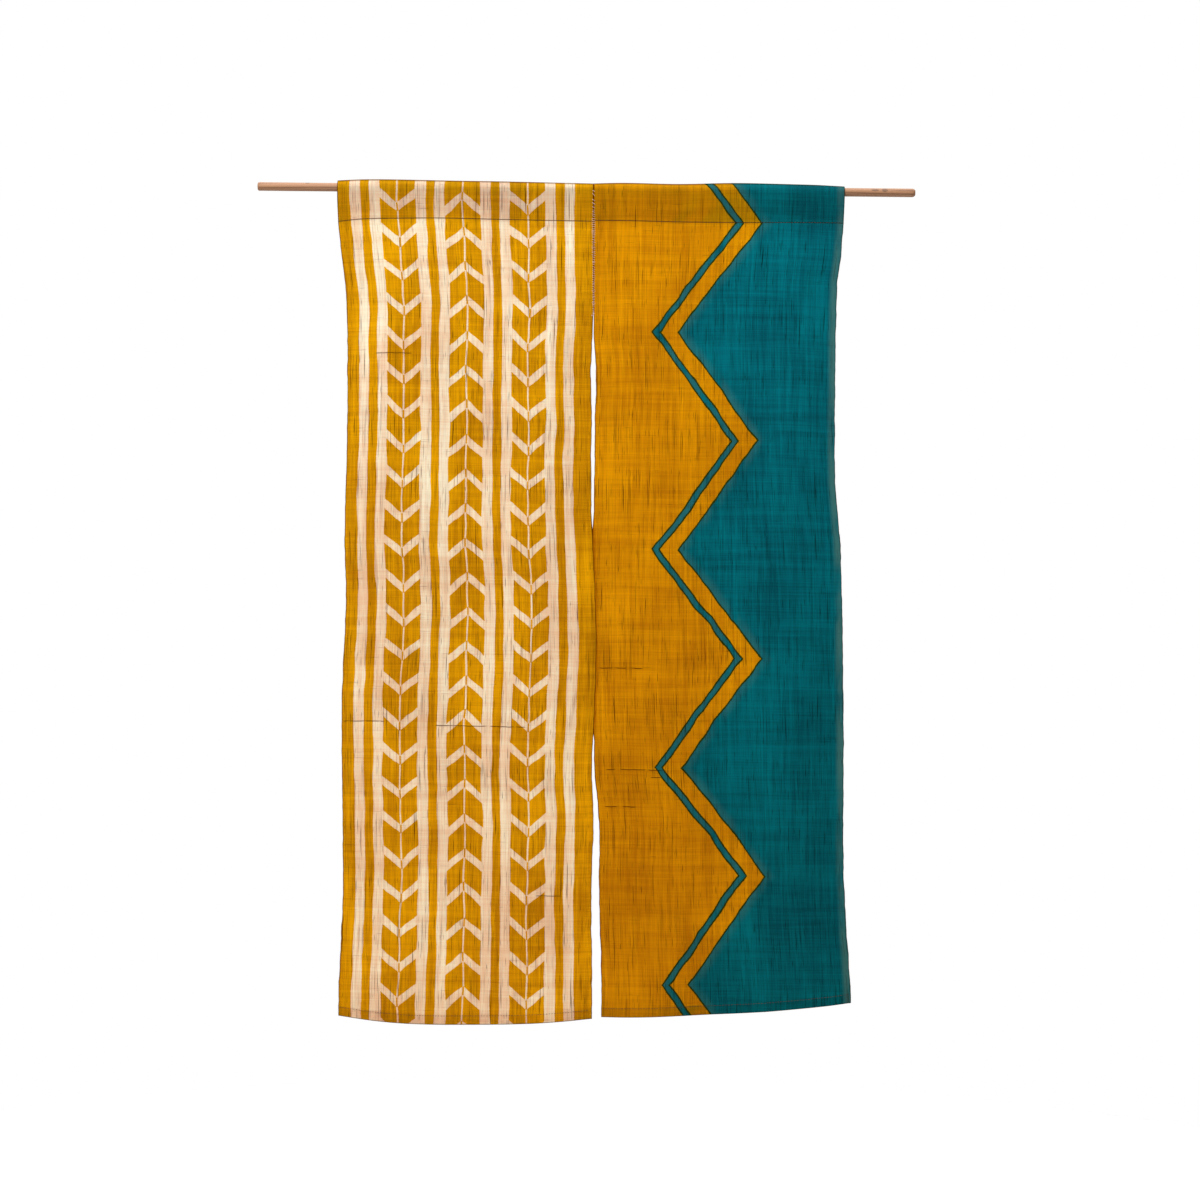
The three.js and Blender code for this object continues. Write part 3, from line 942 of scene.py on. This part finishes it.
bm = bmesh.new()
outline = [(rod_low[0] + x, r) for x, r in LEFT_END]
first, last = outline[-1][0], rod_high[0] - RIGHT_END[0][0]
outline += [(first + (last - first) * k / ROD_RINGS, ROD_RADIUS) for k in range(1, ROD_RINGS)]
outline += [(rod_high[0] - x, r) for x, r in RIGHT_END]
points = [bm.verts.new((x, 0, r)) for x, r in outline]
for a, b in zip(points, points[1:]):
    bm.edges.new((a, b))
bmesh.ops.spin(
    bm,
    geom=bm.verts[:] + bm.edges[:],
    cent=(0, 0, 0),
    axis=(1, 0, 0),
    angle=2 * math.pi,
    steps=ROD_STEPS,
    use_merge=True,
)
bmesh.ops.remove_doubles(bm, verts=bm.verts, dist=0.01 * MM)
bmesh.ops.recalc_face_normals(bm, faces=bm.faces)
for vertex in bm.verts:
    x, y, z = vertex.co
    dent = DENT_DEPTH * (noise.noise(Vector((x * 16, y * 90, z * 90))) - 0.6)
    out = Vector((0, y, z))
    if out.length > 1 * MM:
        vertex.co += out.normalized() * dent
rod_mesh = mesh_from(bm, "planed_rod")
rod_mesh.set_sharp_from_angle(angle=math.radians(38))
rod = placed("planed_rod", rod_mesh)
print("rod", round(2 * ROD_RADIUS / MM, 1), "mm thick,", len(rod_mesh.polygons), "faces")

# %% [markdown]
# ## Plain wood
#
# The wood is unvarnished and pinkish brown. Its fibres run along the rod, so the noise that draws them is
# stretched along X, and growth rings around a heart outside the rod give it faint long bands. Short dark
# pores lie between the fibres. Near the right end the photograph shows dark knots, and the grain bends
# around them. On the ends, rings replace the streaks by themselves, because the pattern is made in space
# and not painted on the surface.

# %% Wood material
WOOD_PALE, WOOD_DEEP, WOOD_KNOT = colour(149, 109, 79), colour(103, 70, 48), colour(84, 58, 40)
HEART = (0.0, 19 * MM, -11 * MM)
RING_WIDTH = 2.732 * MM
FIBRES_A_METRE = 620.0
PORES_A_METRE = 2300
KNOTS = [
    {"at": (509 * MM, -6.6 * MM, 3.4 * MM), "length": 7.0 * MM, "height": 2.4 * MM},
    {"at": (526 * MM, -6.2 * MM, 3.6 * MM), "length": 5.5 * MM, "height": 4.2 * MM},
    {"at": (-492 * MM, -3.0 * MM, 6.8 * MM), "length": 4.0 * MM, "height": 2.0 * MM},
]

wood, tree = new_material("planed wood")
in_space = add_node(tree, "TexCoord").outputs["Object"]


def length_from(middle, size):
    """How far a point of the rod is from a middle, counted in sizes along each axis."""
    inputs = {"Vector": in_space, "Location": middle, "Scale": size}
    local = add_node(tree, "Mapping", inputs, vector_type="TEXTURE").outputs[0]
    return add_node(tree, "VectorMath", {0: local}, operation="LENGTH").outputs["Value"]


knot_mask = 0.0
for knot in KNOTS:
    gap = length_from(knot["at"], (knot["length"], 4 * MM, knot["height"]))
    knot_mask = most(tree, knot_mask, near(tree, gap, 0.7, 1.15))
place = parts(tree, in_space)
along = calc(tree, "MULTIPLY_ADD", knot_mask, 0.4, times(tree, place[0], 5.0))
fibre_at = vector(tree, along, *[times(tree, place[axis], FIBRES_A_METRE) for axis in (1, 2)])
fibres = speckle(tree, fibre_at, 5.0, 0.68)
turns = times(tree, length_from(HEART, (45, 1, 1)), 2 * math.pi / RING_WIDTH)
rings = calc(tree, "SINE", calc(tree, "MULTIPLY_ADD", fibres, 5.0, turns))
rings = calc(tree, "POWER", calc(tree, "MULTIPLY_ADD", rings, 0.5, 0.5), 3.0)
grain = calc(tree, "MULTIPLY_ADD", rings, 0.22, times(tree, fibres, 0.9))
wood_colour = mixed(tree, ramp(tree, grain, 0.3, 0.78), WOOD_PALE, WOOD_DEEP)
pore_at = vector(tree, times(tree, along, 14.0), place[1], place[2])
scale = (1, PORES_A_METRE, PORES_A_METRE)
pore_at = add_node(tree, "VectorMath", {0: pore_at, 1: scale}, operation="MULTIPLY").outputs[0]
pores = ramp(tree, speckle(tree, pore_at, 1.0), 0.66, 0.74)
wood_colour = mixed(tree, times(tree, pores, 0.5), wood_colour, WOOD_KNOT)
wood_colour = mixed(tree, times(tree, knot_mask, 0.75), wood_colour, WOOD_KNOT)
wood_bump = add_node(tree, "Bump", {"Height": fibres, "Distance": 0.15 * MM, "Strength": 0.5}).outputs[0]
wood_roughness = calc(tree, "MULTIPLY_ADD", fibres, 0.2, 0.5)
inputs = {"Base Color": wood_colour, "Roughness": wood_roughness, "Normal": wood_bump}
inputs |= {"Specular IOR Level": 0.35}
shader = add_node(tree, "BsdfPrincipled", inputs).outputs[0]
add_node(tree, "OutputMaterial", {"Surface": shader})
rod_mesh.materials.append(wood)
print("knots:", len(KNOTS))

# %% [markdown]
# ## Sewing: running stitches
#
# Dark thread closes the pocket and the hem. A running stitch goes in and out of the cloth, so a bead of
# thread shows on the front where the back has a gap, and the other way round. A painted dashed line would
# do from afar, but it has no height and stays flat where the light grazes it. Each bead is a small sphere
# drawn out along the seam and raised in its middle. The stitches are sewn by hand, so no two are alike.


# %% Stitch helpers
def add_bead(bm, start, end, out, thickness, rise):
    """One bead of thread from start to end, raised along out in its middle."""
    along = end - start
    side = along.cross(out).normalized()
    up = side.cross(along).normalized()
    made = bmesh.ops.create_uvsphere(bm, u_segments=6, v_segments=6, radius=0.5)
    for vertex in made["verts"]:
        x, y, z = vertex.co
        arch = rise * (1 - 4 * z * z)
        vertex.co = (start + end) / 2 + along * z + side * x * thickness + up * (y * thickness + arch)


def point_on(line, distance, run):
    """The point at a distance along a line of points."""
    return Vector([float(np.interp(distance, run, line[:, axis])) for axis in range(3)])


def running_stitches(name, line, side, stitch, gap, thickness, seed, shift=0.0):
    """Beads of thread along a line on the cloth. side is -1 for the front and 1 for the back."""
    draw = random.Random(seed)
    run = np.concatenate([[0], np.cumsum(np.linalg.norm(np.diff(line, axis=0), axis=1))])
    out = Vector((0, side, 0))
    lift = out * (SHEET_THICKNESS / 2 + thickness * 0.2)
    bm = bmesh.new()
    at = 2 * MM + shift
    while at + stitch < run[-1] - 2 * MM:
        length = stitch * draw.uniform(0.85, 1.12)
        drift = Vector((0, 0, draw.uniform(-0.25, 0.25) * MM))
        start, end = (point_on(line, spot, run) + drift + lift for spot in (at, at + length))
        add_bead(bm, start, end, out, thickness * draw.uniform(0.85, 1.1), thickness * 0.35)
        at += length + gap * draw.uniform(0.8, 1.3)
    return placed(name, mesh_from(bm, name))


def thread_material(name, pale, deep):
    """Spun thread: two tones that wind around it, and a fuzzy surface."""
    material, tree = new_material(name)
    where = add_node(tree, "TexCoord").outputs["Object"]
    inputs = {"Vector": where, "Rotation": (0, 0.6, 0), "Scale": (1800, 900, 1800)}
    twist = speckle(tree, add_node(tree, "Mapping", inputs).outputs[0], 3.0)
    tone = mixed(tree, ramp(tree, twist, 0.35, 0.65), pale, deep)
    fuzz = add_node(tree, "Bump", {"Height": twist, "Distance": 0.08 * MM, "Strength": 0.6}).outputs[0]
    inputs = {"Base Color": tone, "Roughness": 0.8, "Normal": fuzz}
    shader = add_node(tree, "BsdfPrincipled", inputs).outputs[0]
    add_node(tree, "OutputMaterial", {"Surface": shader})
    return material


# %% [markdown]
# ## Where the stitches go
#
# The seam under the pocket and the seam of the hem are both rows of the sheet, so the lines to sew along
# are already there. The thread is dark brown on both panels.

# %% Sew the pockets and hems
brown_thread = thread_material("brown thread", colour(98, 62, 38), colour(52, 30, 18))
SEAMS = {
    "pocket": {"rows": (SEAM_ROW, 0), "shift": STITCH_INSET, "stitch": 3.6 * MM, "gap": 1.3 * MM},
    "hem": {"rows": (HEM_LINE_ROW, LAST_ROW), "shift": -STITCH_INSET, "stitch": 3.7 * MM, "gap": 1.2 * MM},
}
SEAM_THREAD = 0.62 * MM
sewing = {"left": [], "right": []}
for panel, place in (("left", left_place), ("right", right_place)):
    for number, (seam_name, seam) in enumerate(SEAMS.items()):
        for row, face, side in zip(seam["rows"], ("front", "back"), (-1, 1)):
            line = place[row] + [0, 0, seam["shift"]]
            name = f"{panel}_{seam_name}_thread_{face}"
            stitch, gap = seam["stitch"], seam["gap"]
            shift = 0.0 if side < 0 else (stitch + gap) / 2
            seed = 10 * number + len(panel) + side
            made = running_stitches(name, line, side, stitch, gap, SEAM_THREAD, seed, shift)
            made.data.materials.append(brown_thread)
            sewing[panel].append(made)
            print(name, len(made.data.polygons), "faces")

# %% [markdown]
# ## Sewing: the joint of the two panels
#
# For about 22 cm the two selvedges are whipped together: one cream thread winds around both, pulled through
# the cloth a few millimetres from the joint on either side. That is a helix with a very flat turn, so it is
# drawn as a curve with a round section and made a mesh afterwards. Hand sewing isn't regular, so each turn
# gets its own width and length, and the thread ends in a small knot.

# %% Whip stitches
JOINT_FROM, JOINT_TO = -2 * MM, -217 * MM
LOOSE_TO = -34 * MM
LOOSE_PITCH, CLOSE_PITCH = 7.5 * MM, 3.1 * MM
POINTS_A_TURN = 12
WHIP_HALF_WIDTH = 2.4 * MM
WHIP_OUT = 0.85 * MM
WHIP_THREAD = 0.75 * MM
KNOT_RADIUS = 1.3 * MM
KNOT_OFFSET = (0, -0.4 * MM, -0.6 * MM)


def joint_place(z):
    """The middle of the joint between the panels at a height, and the depth of the cloth there."""
    rows = slice(CREST_ROW, BOTTOM_ROW)
    left_edge, right_edge = left_place[rows, -1], right_place[rows, 0]
    heights = left_edge[::-1, 2]
    x_left = np.interp(z, heights, left_edge[::-1, 0])
    x_right = np.interp(z, right_edge[::-1, 2], right_edge[::-1, 0])
    return (x_left + x_right) / 2, np.interp(z, heights, left_edge[::-1, 1])


def whip_path():
    """The points of the thread, turn by turn down the joint."""
    draw = random.Random(4)
    path = []
    z = JOINT_FROM
    while z > JOINT_TO:
        width = WHIP_HALF_WIDTH * draw.uniform(0.6, 1.35)
        fall = -(LOOSE_PITCH if z > LOOSE_TO else CLOSE_PITCH) * draw.uniform(0.55, 1.5)
        for k in range(POINTS_A_TURN):
            turn = 2 * math.pi * k / POINTS_A_TURN
            height = z + fall * k / POINTS_A_TURN
            middle, depth = joint_place(height)
            slack = 1 + 0.12 * draw.uniform(-1, 1)
            path.append((middle - width * math.cos(turn), depth - WHIP_OUT * slack * math.sin(turn), height))
        z += fall
    return path


curve = bpy.data.curves.new("joint_thread", "CURVE")
curve.dimensions = "3D"
curve.bevel_depth = WHIP_THREAD / 2
curve.bevel_resolution = 1
curve.use_fill_caps = True
spline = curve.splines.new("POLY")
path = whip_path()
spline.points.add(len(path) - 1)
for point, spot in zip(spline.points, path):
    point.co = (*spot, 1)
curve_object = placed("joint_thread", curve)
graph = bpy.context.evaluated_depsgraph_get()
wound = bpy.data.meshes.new_from_object(curve_object.evaluated_get(graph))
bpy.data.objects.remove(curve_object)

bm = bmesh.new()
bm.from_mesh(wound)
bpy.data.meshes.remove(wound)
knot = bmesh.ops.create_icosphere(bm, subdivisions=2, radius=KNOT_RADIUS)
bmesh.ops.translate(bm, verts=knot["verts"], vec=Vector(path[-1]) + Vector(KNOT_OFFSET))
joint_thread = placed("joint_thread", mesh_from(bm, "joint_thread"))
cream_thread = thread_material("cream thread", colour(244, 208, 170), colour(186, 138, 98))
joint_thread.data.materials.append(cream_thread)
print("joint thread", len(joint_thread.data.polygons), "faces")

# %% [markdown]
# ## The floor's paint, and the pieces on the frame
#
# The floor is a plain pale matt surface that glows very faintly, so that it burns out to white right to its
# rim. Then every piece is tied to the frame: it rides on the root body, and the solid that it replaces is
# hidden. The threads replace none.

# %% Floor, root body and hidden solids
PAINT, GLOW = (0.92, 0.94, 0.97, 1), (0.85, 0.9, 1, 1)
pale, tree = new_material("pale floor")
inputs = {"Base Color": PAINT, "Roughness": 0.9, "Emission Color": GLOW, "Emission Strength": 0.1}
shader = add_node(tree, "BsdfPrincipled", inputs).outputs[0]
add_node(tree, "OutputMaterial", {"Surface": shader})
floor.data.materials.append(pale)

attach(rod, "root")
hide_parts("rod")
for panel, sheet in (("left", left_sheet), ("right", right_sheet)):
    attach(sheet, "root")
    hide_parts("panel_" + panel)
    for made in sewing[panel]:
        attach(made, "root")
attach(joint_thread, "root")
sewing["left"].append(joint_thread)

# %% [markdown]
# ## Sizes
#
# The dressed curtain must stay in the frame's box. The box of the dressed pieces is measured here.

# %% Measure the dressed box
low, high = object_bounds()
